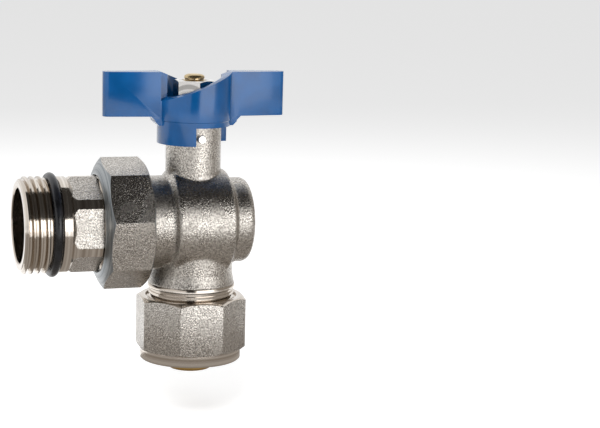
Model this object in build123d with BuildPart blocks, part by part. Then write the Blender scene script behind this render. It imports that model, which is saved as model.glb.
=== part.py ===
"""Angle ball valve with a union tail (male G1) and a compression end for 20 x 2 multilayer pipe.

Frame: the origin is the centre of the tail's end face, X runs along the outlet from the tail into
the body, Z runs up the stem, and the handle's stop pin is on the -Y side. All sizes are in mm.
"""
import os
from math import cos, pi, radians, sin, tan

from build123d import *

os.makedirs("parts", exist_ok=True)

# ---------------------------------------------------------------- fits and gaps
SEAL_GAP = 0.02          # a seal lies on its groove floor without sharing volume with it
THREAD_GAP = 0.15        # radial room between a male ridge and the female ridge round it
SCREWED_GAP = 0.04       # radial room of a ring screwed home for good
RUN_GAP = 0.05           # radial room of a turning fit
FACE_GAP = 0.05          # axial room between faces that slide on each other

# ---------------------------------------------------------------- tail (outlet side)
G1_D = 33.25             # ISO 228 G1, major diameter
G1_MINOR_D = 30.29
G1_PITCH = 2.309
G1_TURNS = 4
G1_LEAD = 0.1            # plain end in front of the first ridge
TAIL_BORE_D = 25.5
TAIL_O_RING_CORD = 3.0
TAIL_O_RING_D = 35.6     # outside diameter as fitted
TAIL_GROOVE_L = 3.5
TAIL_COLLAR_D = 32.8     # also the turned corners of the hexagon
TAIL_COLLAR_L = 3.4
TAIL_HEX_AF = 30.0
TAIL_HEX_L = 11.6
TAIL_HEX_TURN = -3.0     # degrees from a corner straight up
TAIL_HEX_RUNOUT = 1.5    # axial length of the cone at each end of the flats
TAIL_NECK_L = 3.0
TAIL_FLANGE_D = 35.9
TAIL_FLANGE_L = 2.4
TAIL_END_CHAMFER = 0.4

# ---------------------------------------------------------------- union
UNION_GASKET_L = 2.0
UNION_GASKET_BORE_D = 27.0
UNION_THREAD_D = 36.1    # male ridges on the body
UNION_THREAD_DEPTH = 0.75
UNION_PITCH = 1.5
UNION_TURNS = 5
NUT_SIDES = 8            # both big nuts are octagons
UNION_NUT_AF = 41.8
UNION_NUT_L = 16.4
UNION_NUT_LIP_L = 4.2
UNION_NUT_HOLE_GAP = 0.45  # round the tail's collar
UNION_NUT_CONE_L = 2.4   # length of the machined cone on the outlet side
UNION_NUT_BACK_CHAMFER = 1.2
UNION_NUT_TURN = -9.0    # degrees of a corner from straight up

# ---------------------------------------------------------------- body, along the outlet
FACE_TO_STEM = 25.55     # gasket face to stem axis
BARREL_D = 32.0          # cylinder behind the union thread
CHAMBER_D = 35.8
CHAMBER_FRONT = 8.4      # stem axis to the ridge on the union side
CHAMBER_BACK = 10.9      # stem axis to the ridge on the blind side
CHAMBER_STEP_L = 1.6     # length of the slope on each side of the chamber
BOSS_D = 29.6
BOSS_END = 19.3          # stem axis to the blind end
BOSS_ROUND = 2.4
BOSS_WALL = 4.0
BOSS_POCKET_D = 16.0

# ---------------------------------------------------------------- ball and seats
BALL_D = 24.0
PORT_D = 15.5
CHAMBER_BORE_D = 24.8
SEAT_OUT = 11.5          # ball centre to the back of a seat
SEAT_IN = 7.6            # ball centre to the inner edge of a seat
SEAT_BORE_D = 16.2
BALL_GAP = 0.05
RETAINER_D = 26.0
RETAINER_L = 5.5
RETAINER_SLOT_W = 3.0
RETAINER_SLOT_DEPTH = 1.6
BALL_SLOT_W = 4.2
BALL_SLOT_DEPTH = 3.2

# ---------------------------------------------------------------- stem and its seals
STEM_D = 9.0
TANG_GAP = 0.1
TANG_W = 8.6
STEM_COLLAR_D = 12.0
STEM_COLLAR_Z = 12.75
STEM_COLLAR_L = 2.5
THRUST_WASHER_L = 1.0
STEM_O_RING_CORD = 1.5
STEM_O_RING_Z = (18.6, 21.4)
PACKING_L = 3.6
GLAND_D = 12.0
GLAND_HEAD_AF = 14.0
GLAND_HEAD_L = 2.4
PACKING_Z = 24.4
NECK_D = 19.1
NECK_TOP = 34.0
STEM_FLATS = 6.6         # across the two flats that drive the handle
STEM_TOP = 51.2
STEM_END_ROUND = 0.9
STOP_PIN_D = 3.0
STOP_PIN_Z = 29.7
STOP_PIN_REACH = 12.0    # stem axis to the pin's outer end
STOP_PIN_DEPTH = 2.9     # length in the neck's wall

# ---------------------------------------------------------------- handle
HANDLE_L = 64.0
WING_TOP = 52.0
WING_BOTTOM = 36.8
WING_TIP_T = 4.6
WING_ROOT_T = 7.6
WING_ROOT = 13.4         # stem axis to the start of the flat wing
WING_TIP_ROUND = 1.7
HUB_D = 25.8
HUB_STEP_D = 25.3
HUB_STEP_Z = 35.4
HUB_BOTTOM = 33.6
ROOT_REACH = 14.4        # stem axis to the end of the lug under the wing
ROOT_CHAMFER = 1.4
SKIRT_BOTTOM = 27.4
SKIRT_GAP = 0.4          # neck to skirt
FLOOR_BOTTOM = 36.9
FLOOR_TOP = 40.7
CUP_D = 19.0             # recess round the nut
RIM_SLOPE = 21.5         # degrees of the sloping rim
RIM_LOW_X = 12.6         # stem axis to the low end of the rim
RIM_LOW_Z = 42.2
STOP_GAP = 0.35          # pin to skirt edge at each end of the turn
HANDLE_TURN = 90.0

# ---------------------------------------------------------------- handle fastening
M8_D = 8.0
M8_AF = 13.0
M8_H = 6.5
LOCK_WASHER_H = 1.8
LOCK_WASHER_W = 2.3
LOCK_WASHER_SPLIT = 0.8

# ---------------------------------------------------------------- lower port
PORT_NECK_D = 28.6
PORT_FLARE_Z = -17.5
PORT_SHOULDER_D = 30.4
PORT_SHOULDER_Z = (-21.6, -23.2)
PORT_GROOVE_D = 28.8
PORT_GROOVE_L = 1.1
PORT_THREAD_D = 29.9     # male ridges
PORT_THREAD_DEPTH = 0.7
PORT_PITCH = 1.5
PORT_TURNS = 8
PORT_PLAIN_L = 1.6
INSERT_NOSE_D = 18.0
INSERT_NOSE_Z = -27.0
INSERT_HEAD_D = 21.6
INSERT_HEAD_Z = -30.6
INSERT_HEAD_L = 2.6
INSERT_BORE_D = 12.0
SPIGOT_D = 15.8
INSERT_END = -52.1
SPIGOT_CHAMFER = 0.7
SPIGOT_O_RING_CORD = 1.8
SPIGOT_O_RING_D = 16.1
SPIGOT_O_RING_Z = (-41.5, -45.5)
SEAT_O_RING_CORD = 1.8
INSULATOR_L = 1.2
INSULATOR_SEAT_D = 16.6
INSULATOR_SEAT_L = 1.3
PIPE_D = 20.0
PIPE_GAP = 0.15          # pipe to the bores that it passes

# ---------------------------------------------------------------- compression nut
NUT_TOP = -26.1
NUT_AF = 36.0
NUT_FLATS_L = 18.3
NUT_COLLAR_D = 35.2
NUT_COLLAR_L = 4.1
NUT_CHAMFER = 1.1
NUT_MOUTH_D = 31.8
NUT_TURN = -25.0         # degrees of a corner from -Y
NUT_CONE_L = 7.0
RING_D = 24.6
RING_TIP_WALL = 0.5      # at both tapered ends of the ring
RING_SPLIT = 1.5
RING_GAP = 0.3           # between the ring's cones and the seats they press on
MOUTH_L = 1.2            # flare of the port that the ring presses into

# ================================================================ places worked out from them
x_thread_end = G1_LEAD + G1_TURNS * G1_PITCH
x_collar = x_thread_end + TAIL_GROOVE_L
x_hex = x_collar + TAIL_COLLAR_L
x_neck = x_hex + TAIL_HEX_L
x_flange = x_neck + TAIL_NECK_L
x_gasket = x_flange + TAIL_FLANGE_L
x_face = x_gasket + UNION_GASKET_L
x_stem = x_face + FACE_TO_STEM
x_union_thread_end = x_face + UNION_TURNS * UNION_PITCH
x_nut = x_flange - FACE_GAP - UNION_NUT_LIP_L

z_port_thread = PORT_SHOULDER_Z[1] - PORT_GROOVE_L - PORT_PLAIN_L
z_port_end = z_port_thread - PORT_TURNS * PORT_PITCH
z_thrust = STEM_COLLAR_Z + STEM_COLLAR_L
z_bore_step = z_thrust + FACE_GAP + THRUST_WASHER_L
z_gland = PACKING_Z + PACKING_L
z_nut = FLOOR_TOP + LOCK_WASHER_H

stem_axis = Axis((x_stem, 0, 0), (0, 0, 1))
# profiles round the stem axis are drawn as (radius, height)
stem_plane = Plane(origin=(x_stem, 0, 0), x_dir=(1, 0, 0), z_dir=(0, -1, 0))


def level(z):
    """Horizontal plane at height z, centred on the stem axis."""
    return Plane(origin=(x_stem, 0, z))


def across(x):
    """Plane square to the outlet axis at x, its local x along +Y and its local y up."""
    return Plane(origin=(x, 0, 0), x_dir=(0, 1, 0), z_dir=(1, 0, 0))


def ridges(start, turns, pitch, crest_r, root_r, step=1):
    """Thread profile as ring-shaped ridges: (place along the axis, radius) points."""
    flank = 0.27 * pitch
    flat = (pitch - 2 * flank) / 2
    points = []
    for turn in range(turns):
        foot = start + step * turn * pitch
        points.append((foot + step * flat / 2, root_r))
        points.append((foot + step * (flat / 2 + flank), crest_r))
        points.append((foot + step * (flat * 1.5 + flank), crest_r))
        points.append((foot + step * (flat * 1.5 + 2 * flank), root_r))
    return points


def swapped(points):
    """The same points as (radius, height), for profiles round the stem axis."""
    return [(radius, place) for place, radius in points]


def corner_d(across_flats, corners):
    """Diameter over the corners of a regular polygon."""
    return across_flats / cos(pi / corners)


# ================================================================ tail
groove_d = TAIL_O_RING_D - 2 * TAIL_O_RING_CORD - 2 * SEAL_GAP
hex_cone_d = TAIL_HEX_AF - 1.0

with BuildPart() as tailpiece:
    with BuildSketch(Plane.XZ):
        with BuildLine():
            Polyline(
                (0, TAIL_BORE_D / 2 + TAIL_END_CHAMFER),
                (0, G1_MINOR_D / 2),
                *ridges(G1_LEAD, G1_TURNS, G1_PITCH, G1_D / 2, G1_MINOR_D / 2),
                (x_thread_end, groove_d / 2),
                (x_collar, groove_d / 2),
                (x_collar, TAIL_COLLAR_D / 2),
                (x_hex, TAIL_COLLAR_D / 2),
                (x_hex + TAIL_HEX_RUNOUT, hex_cone_d / 2),
                (x_neck - TAIL_HEX_RUNOUT, hex_cone_d / 2),
                (x_neck, TAIL_COLLAR_D / 2),
                (x_flange, TAIL_COLLAR_D / 2),
                (x_flange, TAIL_FLANGE_D / 2),
                (x_gasket, TAIL_FLANGE_D / 2),
                (x_gasket, TAIL_BORE_D / 2),
                (TAIL_END_CHAMFER, TAIL_BORE_D / 2),
                close=True,
            )
        make_face()
    revolve(axis=Axis.X)
    # the flats, whose corners are turned down to the collar's diameter
    with BuildSketch(across(x_hex)):
        RegularPolygon(corner_d(TAIL_HEX_AF, 6) / 2, 6, rotation=90 - TAIL_HEX_TURN)
        Circle(TAIL_COLLAR_D / 2, mode=Mode.INTERSECT)
        Circle(TAIL_BORE_D / 2, mode=Mode.SUBTRACT)
    extrude(amount=TAIL_HEX_L)

o_ring_r = (TAIL_O_RING_D - TAIL_O_RING_CORD) / 2
with BuildPart() as tail_o_ring:
    with BuildSketch(Plane.XZ):
        with Locations((x_thread_end + TAIL_GROOVE_L / 2, o_ring_r)):
            Circle(TAIL_O_RING_CORD / 2)
    revolve(axis=Axis.X)

with BuildPart() as union_gasket:
    with BuildSketch(across(x_gasket)):
        Circle(TAIL_FLANGE_D / 2)
        Circle(UNION_GASKET_BORE_D / 2, mode=Mode.SUBTRACT)
    extrude(amount=UNION_GASKET_L)

# ================================================================ union nut
nut_crest_r = UNION_THREAD_D / 2 + THREAD_GAP
nut_root_r = nut_crest_r + UNION_THREAD_DEPTH
x_nut_end = x_nut + UNION_NUT_L
x_nut_shoulder = x_nut + UNION_NUT_LIP_L
union_corner_r = corner_d(UNION_NUT_AF, NUT_SIDES) / 2
nut_hole_r = TAIL_COLLAR_D / 2 + UNION_NUT_HOLE_GAP
nut_turns = int((UNION_NUT_L - UNION_NUT_LIP_L - 0.5) / UNION_PITCH)

with BuildPart() as union_nut:
    with BuildSketch(across(x_nut)):
        RegularPolygon(union_corner_r, NUT_SIDES, rotation=90 - UNION_NUT_TURN)
    extrude(amount=UNION_NUT_L)
    # outside envelope: a machined cone to the outlet, a plain chamfer to the body
    with BuildSketch(Plane.XZ):
        with BuildLine():
            Polyline(
                (x_nut, 0),
                (x_nut, nut_hole_r + 0.6),
                (x_nut + UNION_NUT_CONE_L, union_corner_r),
                (x_nut_end - UNION_NUT_BACK_CHAMFER, union_corner_r),
                (x_nut_end, union_corner_r - UNION_NUT_BACK_CHAMFER * 1.73),
                (x_nut_end, 0),
                close=True,
            )
        make_face()
    revolve(axis=Axis.X, mode=Mode.INTERSECT)
    # hole over the tail, and the threaded bore behind the lip
    with BuildSketch(Plane.XZ):
        with BuildLine():
            Polyline(
                (x_nut - 1, 0),
                (x_nut - 1, nut_hole_r),
                (x_nut_shoulder, nut_hole_r),
                (x_nut_shoulder, nut_root_r),
                *ridges(x_nut_shoulder + 0.4, nut_turns, UNION_PITCH, nut_crest_r, nut_root_r),
                (x_nut_end + 1, nut_root_r),
                (x_nut_end + 1, 0),
                close=True,
            )
        make_face()
    revolve(axis=Axis.X, mode=Mode.SUBTRACT)

# ================================================================ body
x_ridge_front = x_stem - CHAMBER_FRONT
x_ridge_back = x_stem + CHAMBER_BACK
x_end = x_stem + BOSS_END
union_root_r = UNION_THREAD_D / 2 - UNION_THREAD_DEPTH
x_pocket = x_stem + SEAT_OUT
retainer_bore_r = RETAINER_D / 2 + SCREWED_GAP
x_retainer_end = x_stem - SEAT_OUT
gland_bore_r = GLAND_D / 2 + SCREWED_GAP
stem_bore_r = STEM_D / 2 + RUN_GAP
port_root_r = PORT_THREAD_D / 2 - PORT_THREAD_DEPTH
z_head_seat = INSERT_HEAD_Z
socket_r = INSERT_HEAD_D / 2 + RUN_GAP
nose_bore_r = INSERT_NOSE_D / 2 + RUN_GAP
pipe_bore_r = PIPE_D / 2 + PIPE_GAP
ring_tip_r = pipe_bore_r + RING_TIP_WALL
mouth_r = ring_tip_r + RING_GAP
z_ring_top = z_port_end + MOUTH_L
ring_seat_r = RING_D / 2 + RING_GAP

with BuildPart() as valve_body:
    with BuildSketch(Plane.XZ):
        with BuildLine():
            Polyline(
                (x_face, 0),
                (x_face, union_root_r),
                *ridges(x_face, UNION_TURNS, UNION_PITCH, UNION_THREAD_D / 2, union_root_r),
                (x_union_thread_end, union_root_r),
                (x_union_thread_end, BARREL_D / 2),
                (x_ridge_front - CHAMBER_STEP_L, BARREL_D / 2),
                (x_ridge_front, CHAMBER_D / 2),
                (x_ridge_back, CHAMBER_D / 2),
                (x_ridge_back + CHAMBER_STEP_L, BOSS_D / 2),
                (x_end, BOSS_D / 2),
                (x_end, 0),
                close=True,
            )
        make_face()
    revolve(axis=Axis.X)
    fillet(valve_body.edges().filter_by(GeomType.CIRCLE).sort_by(Axis.X)[-1], BOSS_ROUND)
    # stem neck
    with BuildSketch(level(0)):
        Circle(NECK_D / 2)
    extrude(amount=NECK_TOP)
    # lower port
    with BuildSketch(stem_plane):
        with BuildLine():
            Polyline(
                (0, 0),
                (PORT_NECK_D / 2, 0),
                (PORT_NECK_D / 2, PORT_FLARE_Z),
                (PORT_SHOULDER_D / 2, PORT_SHOULDER_Z[0]),
                (PORT_SHOULDER_D / 2, PORT_SHOULDER_Z[1]),
                (PORT_GROOVE_D / 2, PORT_SHOULDER_Z[1]),
                (PORT_GROOVE_D / 2, PORT_SHOULDER_Z[1] - PORT_GROOVE_L),
                (PORT_THREAD_D / 2, PORT_SHOULDER_Z[1] - PORT_GROOVE_L),
                (PORT_THREAD_D / 2, z_port_thread + PORT_PLAIN_L / 2),
                (port_root_r, z_port_thread + PORT_PLAIN_L / 2),
                *swapped(ridges(z_port_thread, PORT_TURNS, PORT_PITCH, PORT_THREAD_D / 2, port_root_r, -1)),
                (port_root_r, z_port_end),
                (0, z_port_end),
                close=True,
            )
        make_face()
    revolve(axis=stem_axis)
    # ball chamber, opened from the union side, and the pocket in the blind boss
    with BuildSketch(Plane.XZ):
        with BuildLine():
            Polyline(
                (x_face - 1, 0),
                (x_face - 1, retainer_bore_r),
                (x_retainer_end, retainer_bore_r),
                (x_retainer_end, CHAMBER_BORE_D / 2),
                (x_pocket, CHAMBER_BORE_D / 2),
                (x_pocket, BOSS_POCKET_D / 2),
                (x_end - BOSS_WALL, BOSS_POCKET_D / 2),
                (x_end - BOSS_WALL, 0),
                close=True,
            )
        make_face()
    revolve(axis=Axis.X, mode=Mode.SUBTRACT)
    # stem bore: collar pocket, seal bore, packing and gland bore
    with BuildSketch(stem_plane):
        with BuildLine():
            Polyline(
                (0, 0),
                (STEM_COLLAR_D / 2 + RUN_GAP, 0),
                (STEM_COLLAR_D / 2 + RUN_GAP, z_bore_step),
                (stem_bore_r, z_bore_step),
                (stem_bore_r, PACKING_Z),
                (gland_bore_r, PACKING_Z),
                (gland_bore_r, NECK_TOP + 1),
                (0, NECK_TOP + 1),
                close=True,
            )
        make_face()
    revolve(axis=stem_axis, mode=Mode.SUBTRACT)
    # lower waterway, the insert's stepped socket and the ring's flared mouth
    with BuildSketch(stem_plane):
        with BuildLine():
            Polyline(
                (0, 0),
                (PORT_D / 2, 0),
                (PORT_D / 2, INSERT_NOSE_Z),
                (nose_bore_r, INSERT_NOSE_Z),
                (nose_bore_r, z_head_seat),
                (socket_r, z_head_seat),
                (socket_r, z_ring_top),
                (mouth_r, z_ring_top),
                (ring_seat_r, z_port_end),
                (ring_seat_r, z_port_end - 1),
                (0, z_port_end - 1),
                close=True,
            )
        make_face()
    revolve(axis=stem_axis, mode=Mode.SUBTRACT)
    # hole for the stop pin
    pin_root = NECK_D / 2 - STOP_PIN_DEPTH
    with BuildSketch(Plane(origin=(x_stem, -pin_root, STOP_PIN_Z), x_dir=(1, 0, 0), z_dir=(0, -1, 0))):
        Circle(STOP_PIN_D / 2)
    extrude(amount=STOP_PIN_DEPTH + 1, mode=Mode.SUBTRACT)

with BuildPart() as stop_pin:
    with BuildSketch(Plane(origin=(x_stem, -pin_root, STOP_PIN_Z), x_dir=(1, 0, 0), z_dir=(0, -1, 0))):
        Circle(STOP_PIN_D / 2)
    extrude(amount=STOP_PIN_REACH - pin_root)
    chamfer(stop_pin.edges().sort_by(Axis.Y)[0], 0.3)

# ================================================================ ball and seats
ball_r = BALL_D / 2
with BuildPart() as ball:
    with Locations((x_stem, 0, 0)):
        Sphere(ball_r)
    with BuildSketch(level(-ball_r)):
        Circle(PORT_D / 2)
    extrude(amount=ball_r, mode=Mode.SUBTRACT)
    with Locations((x_stem, 0, 0)):
        Sphere(PORT_D / 2, mode=Mode.SUBTRACT)
    with BuildSketch(across(x_stem - ball_r)):
        Circle(PORT_D / 2)
    extrude(amount=ball_r, mode=Mode.SUBTRACT)
    with BuildSketch(level(ball_r - BALL_SLOT_DEPTH)):
        Rectangle(BALL_SLOT_W, BALL_D)
    extrude(amount=BALL_SLOT_DEPTH + 1, mode=Mode.SUBTRACT)


def seat(side):
    """PTFE seat ring: side is -1 on the union side of the ball and 1 on the blind side."""
    outer_r = CHAMBER_BORE_D / 2 - SCREWED_GAP
    wall = outer_r - SEAT_BORE_D / 2
    with BuildPart() as ring:
        with BuildSketch(Plane.XZ):
            with Locations((x_stem + side * (SEAT_OUT + SEAT_IN) / 2, outer_r - wall / 2)):
                Rectangle(SEAT_OUT - SEAT_IN, wall)
            with Locations((x_stem, 0)):
                Circle(ball_r + BALL_GAP, mode=Mode.SUBTRACT)
        revolve(axis=Axis.X)
    return ring


outlet_seat = seat(-1)
rear_seat = seat(1)

with BuildPart() as seat_retainer:
    with BuildSketch(across(x_retainer_end - RETAINER_L)):
        Circle(RETAINER_D / 2)
        Circle(PORT_D / 2, mode=Mode.SUBTRACT)
    extrude(amount=RETAINER_L)
    with BuildSketch(across(x_retainer_end - RETAINER_L)):
        Rectangle(RETAINER_D + 1, RETAINER_SLOT_W)
    extrude(amount=RETAINER_SLOT_DEPTH, mode=Mode.SUBTRACT)

# ================================================================ stem and seals
stem_groove_r = STEM_D / 2 - STEM_O_RING_CORD + RUN_GAP
stem_ring_r = (stem_groove_r + stem_bore_r) / 2
groove_half = STEM_O_RING_CORD / 2 + 0.15
z_flats = NECK_TOP + GLAND_HEAD_L

with BuildPart() as stem:
    with BuildSketch(stem_plane):
        with BuildLine():
            Polyline(
                (0, STEM_COLLAR_Z),
                (STEM_COLLAR_D / 2, STEM_COLLAR_Z),
                (STEM_COLLAR_D / 2, z_thrust),
                (STEM_D / 2, z_thrust),
                (STEM_D / 2, STEM_O_RING_Z[0] - groove_half),
                (stem_groove_r, STEM_O_RING_Z[0] - groove_half),
                (stem_groove_r, STEM_O_RING_Z[0] + groove_half),
                (STEM_D / 2, STEM_O_RING_Z[0] + groove_half),
                (STEM_D / 2, STEM_O_RING_Z[1] - groove_half),
                (stem_groove_r, STEM_O_RING_Z[1] - groove_half),
                (stem_groove_r, STEM_O_RING_Z[1] + groove_half),
                (STEM_D / 2, STEM_O_RING_Z[1] + groove_half),
                (STEM_D / 2, FLOOR_TOP),
                (M8_D / 2, FLOOR_TOP),
                (M8_D / 2, STEM_TOP - STEM_END_ROUND),
                (M8_D / 2 - STEM_END_ROUND, STEM_TOP),
                (0, STEM_TOP),
                close=True,
            )
        make_face()
    revolve(axis=stem_axis)
    # two flats that drive the handle, from the gland up to the thread
    with BuildSketch(level(z_flats)):
        Rectangle(STEM_D + 1, STEM_D + 1)
        Rectangle(STEM_D + 1, STEM_FLATS, mode=Mode.SUBTRACT)
    extrude(amount=FLOOR_TOP - z_flats, mode=Mode.SUBTRACT)
    # tang in the ball's slot
    with BuildSketch(level(ball_r - BALL_SLOT_DEPTH + TANG_GAP)):
        Rectangle(BALL_SLOT_W - 2 * TANG_GAP, TANG_W)
    extrude(until=Until.NEXT)

with BuildPart() as thrust_washer:
    with BuildSketch(level(z_bore_step)):
        Circle(STEM_COLLAR_D / 2)
        Circle(stem_bore_r, mode=Mode.SUBTRACT)
    extrude(amount=-THRUST_WASHER_L)

with BuildPart() as stem_o_rings:
    for z in STEM_O_RING_Z:
        with BuildSketch(stem_plane):
            with Locations((stem_ring_r, z)):
                Circle(STEM_O_RING_CORD / 2 - SEAL_GAP)
        revolve(axis=stem_axis)

with BuildPart() as packing_ring:
    with BuildSketch(level(PACKING_Z)):
        Circle(GLAND_D / 2)
        Circle(stem_bore_r, mode=Mode.SUBTRACT)
    extrude(amount=PACKING_L)

with BuildPart() as gland_nut:
    with BuildSketch(level(z_gland)):
        Circle(GLAND_D / 2)
    extrude(amount=NECK_TOP - z_gland)
    with BuildSketch(level(NECK_TOP)):
        RegularPolygon(corner_d(GLAND_HEAD_AF, 6) / 2, 6)
    extrude(amount=GLAND_HEAD_L)
    with BuildSketch(level(z_gland)):
        Circle(stem_bore_r)
    extrude(amount=NECK_TOP + GLAND_HEAD_L - z_gland, mode=Mode.SUBTRACT)

# ================================================================ handle
skirt_bore_r = NECK_D / 2 + SKIRT_GAP
skirt_r = HUB_STEP_D / 2
tip = HANDLE_L / 2
rim_rise = tan(radians(RIM_SLOPE))
rim_high_x = RIM_LOW_X - (WING_TOP - RIM_LOW_Z) / rim_rise
pin_half_angle = (STOP_PIN_D / 2 + STOP_GAP) / skirt_bore_r * 180 / pi
window_start = -90 - pin_half_angle
window_size = HANDLE_TURN + 2 * pin_half_angle

with BuildPart() as handle:
    # hub with the stepped skirt below it
    with BuildSketch(stem_plane):
        with BuildLine():
            Polyline(
                (0, SKIRT_BOTTOM),
                (skirt_r, SKIRT_BOTTOM),
                (skirt_r, HUB_STEP_Z),
                (HUB_D / 2, HUB_STEP_Z + (HUB_D - HUB_STEP_D) / 2),
                (HUB_D / 2, WING_TOP),
                (0, WING_TOP),
                close=True,
            )
        make_face()
    revolve(axis=stem_axis)
    # both wings in one plan, tapering to the tips
    with BuildSketch(level(WING_BOTTOM)):
        with BuildLine():
            Polyline(
                (-tip, -WING_TIP_T / 2),
                (-WING_ROOT, -WING_ROOT_T / 2),
                (WING_ROOT, -WING_ROOT_T / 2),
                (tip, -WING_TIP_T / 2),
                (tip, WING_TIP_T / 2),
                (WING_ROOT, WING_ROOT_T / 2),
                (-WING_ROOT, WING_ROOT_T / 2),
                (-tip, WING_TIP_T / 2),
                close=True,
            )
        make_face()
    extrude(amount=WING_TOP - WING_BOTTOM)
    tip_edges = handle.edges().filter_by(Axis.Z)
    fillet(tip_edges.sort_by(Axis.X)[:2] + tip_edges.sort_by(Axis.X)[-2:], WING_TIP_ROUND)
    # lugs that carry the wings' roots down to the hub's lower edge
    with BuildSketch(stem_plane):
        with BuildLine():
            Polyline(
                (-ROOT_REACH - ROOT_CHAMFER, WING_BOTTOM),
                (-ROOT_REACH, WING_BOTTOM - ROOT_CHAMFER),
                (-ROOT_REACH, HUB_BOTTOM + ROOT_CHAMFER),
                (-ROOT_REACH + ROOT_CHAMFER, HUB_BOTTOM),
                (ROOT_REACH - ROOT_CHAMFER, HUB_BOTTOM),
                (ROOT_REACH, HUB_BOTTOM + ROOT_CHAMFER),
                (ROOT_REACH, WING_BOTTOM - ROOT_CHAMFER),
                (ROOT_REACH + ROOT_CHAMFER, WING_BOTTOM),
                close=True,
            )
        make_face()
    extrude(amount=WING_ROOT_T / 2, both=True)
    # bore over the neck and gland, drive slot in the floor, cup round the nut
    with BuildSketch(level(SKIRT_BOTTOM)):
        Circle(skirt_bore_r)
    extrude(amount=FLOOR_BOTTOM - SKIRT_BOTTOM, mode=Mode.SUBTRACT)
    with BuildSketch(level(FLOOR_BOTTOM)):
        Circle(STEM_D / 2 + RUN_GAP)
        Rectangle(STEM_D + 1, STEM_FLATS + 2 * RUN_GAP, mode=Mode.INTERSECT)
    extrude(amount=FLOOR_TOP - FLOOR_BOTTOM, mode=Mode.SUBTRACT)
    with BuildSketch(level(FLOOR_TOP)):
        Circle(CUP_D / 2)
    extrude(amount=WING_TOP - FLOOR_TOP, mode=Mode.SUBTRACT)
    # window in the skirt that lets it turn past the stop pin
    with BuildSketch(level(SKIRT_BOTTOM)):
        with BuildLine():
            Line((0, 0), (HUB_D * cos(radians(window_start)), HUB_D * sin(radians(window_start))))
            CenterArc((0, 0), HUB_D, window_start, window_size)
            Line((HUB_D * cos(radians(window_start + window_size)),
                  HUB_D * sin(radians(window_start + window_size))), (0, 0))
        make_face()
    extrude(amount=HUB_BOTTOM - SKIRT_BOTTOM, mode=Mode.SUBTRACT)
    # sloping rims: the front wall rises to the right wing, the back wall to the left one
    for side in (1, -1):
        with BuildSketch(stem_plane):
            with BuildLine():
                Polyline(
                    (-side * RIM_LOW_X, RIM_LOW_Z),
                    (-side * rim_high_x, WING_TOP),
                    (-side * rim_high_x, WING_TOP + 1),
                    (-side * RIM_LOW_X, WING_TOP + 1),
                    close=True,
                )
            make_face()
        extrude(amount=side * HUB_D, mode=Mode.SUBTRACT)

# ================================================================ handle fastening
with BuildPart() as lock_washer:
    with BuildSketch(level(FLOOR_TOP)):
        Circle(M8_D / 2 + LOCK_WASHER_W)
        Circle(M8_D / 2 + RUN_GAP, mode=Mode.SUBTRACT)
        with Locations((0, -M8_D / 2 - LOCK_WASHER_W / 2)):
            Rectangle(LOCK_WASHER_SPLIT, 2 * LOCK_WASHER_W, mode=Mode.SUBTRACT)
    extrude(amount=LOCK_WASHER_H)

m8_corner_r = corner_d(M8_AF, 6) / 2
with BuildPart() as handle_nut:
    with BuildSketch(level(z_nut)):
        RegularPolygon(m8_corner_r, 6, rotation=30)
        Circle(M8_D / 2 + SCREWED_GAP, mode=Mode.SUBTRACT)
    extrude(amount=M8_H)
    with BuildSketch(stem_plane):
        with BuildLine():
            Polyline(
                (0, z_nut),
                (m8_corner_r, z_nut),
                (m8_corner_r, z_nut + M8_H - 0.55),
                (m8_corner_r - 1.2, z_nut + M8_H),
                (0, z_nut + M8_H),
                close=True,
            )
        make_face()
    revolve(axis=stem_axis, mode=Mode.INTERSECT)

# ================================================================ pipe insert and its rings
z_head_end = INSERT_HEAD_Z - INSERT_HEAD_L
spigot_groove_r = SPIGOT_O_RING_D / 2 - SPIGOT_O_RING_CORD
spigot_half = SPIGOT_O_RING_CORD / 2 + 0.15
z_seat_ring = (INSERT_NOSE_Z + INSERT_HEAD_Z) / 2
seat_groove_r = INSERT_NOSE_D / 2 - SEAT_O_RING_CORD + RUN_GAP
seat_half = SEAT_O_RING_CORD / 2 + 0.15

with BuildPart() as pipe_insert:
    with BuildSketch(stem_plane):
        with BuildLine():
            Polyline(
                (INSERT_BORE_D / 2, INSERT_NOSE_Z),
                (INSERT_NOSE_D / 2, INSERT_NOSE_Z),
                (INSERT_NOSE_D / 2, z_seat_ring + seat_half),
                (seat_groove_r, z_seat_ring + seat_half),
                (seat_groove_r, z_seat_ring - seat_half),
                (INSERT_NOSE_D / 2, z_seat_ring - seat_half),
                (INSERT_NOSE_D / 2, INSERT_HEAD_Z),
                (INSERT_HEAD_D / 2, INSERT_HEAD_Z),
                (INSERT_HEAD_D / 2, z_head_end),
                (INSULATOR_SEAT_D / 2, z_head_end),
                (INSULATOR_SEAT_D / 2, z_head_end - INSULATOR_SEAT_L),
                (SPIGOT_D / 2, z_head_end - INSULATOR_SEAT_L),
                (SPIGOT_D / 2, SPIGOT_O_RING_Z[0] + spigot_half),
                (spigot_groove_r, SPIGOT_O_RING_Z[0] + spigot_half),
                (spigot_groove_r, SPIGOT_O_RING_Z[0] - spigot_half),
                (SPIGOT_D / 2, SPIGOT_O_RING_Z[0] - spigot_half),
                (SPIGOT_D / 2, SPIGOT_O_RING_Z[1] + spigot_half),
                (spigot_groove_r, SPIGOT_O_RING_Z[1] + spigot_half),
                (spigot_groove_r, SPIGOT_O_RING_Z[1] - spigot_half),
                (SPIGOT_D / 2, SPIGOT_O_RING_Z[1] - spigot_half),
                (SPIGOT_D / 2, INSERT_END + SPIGOT_CHAMFER),
                (SPIGOT_D / 2 - SPIGOT_CHAMFER, INSERT_END),
                (INSERT_BORE_D / 2, INSERT_END),
                close=True,
            )
        make_face()
    revolve(axis=stem_axis)

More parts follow.
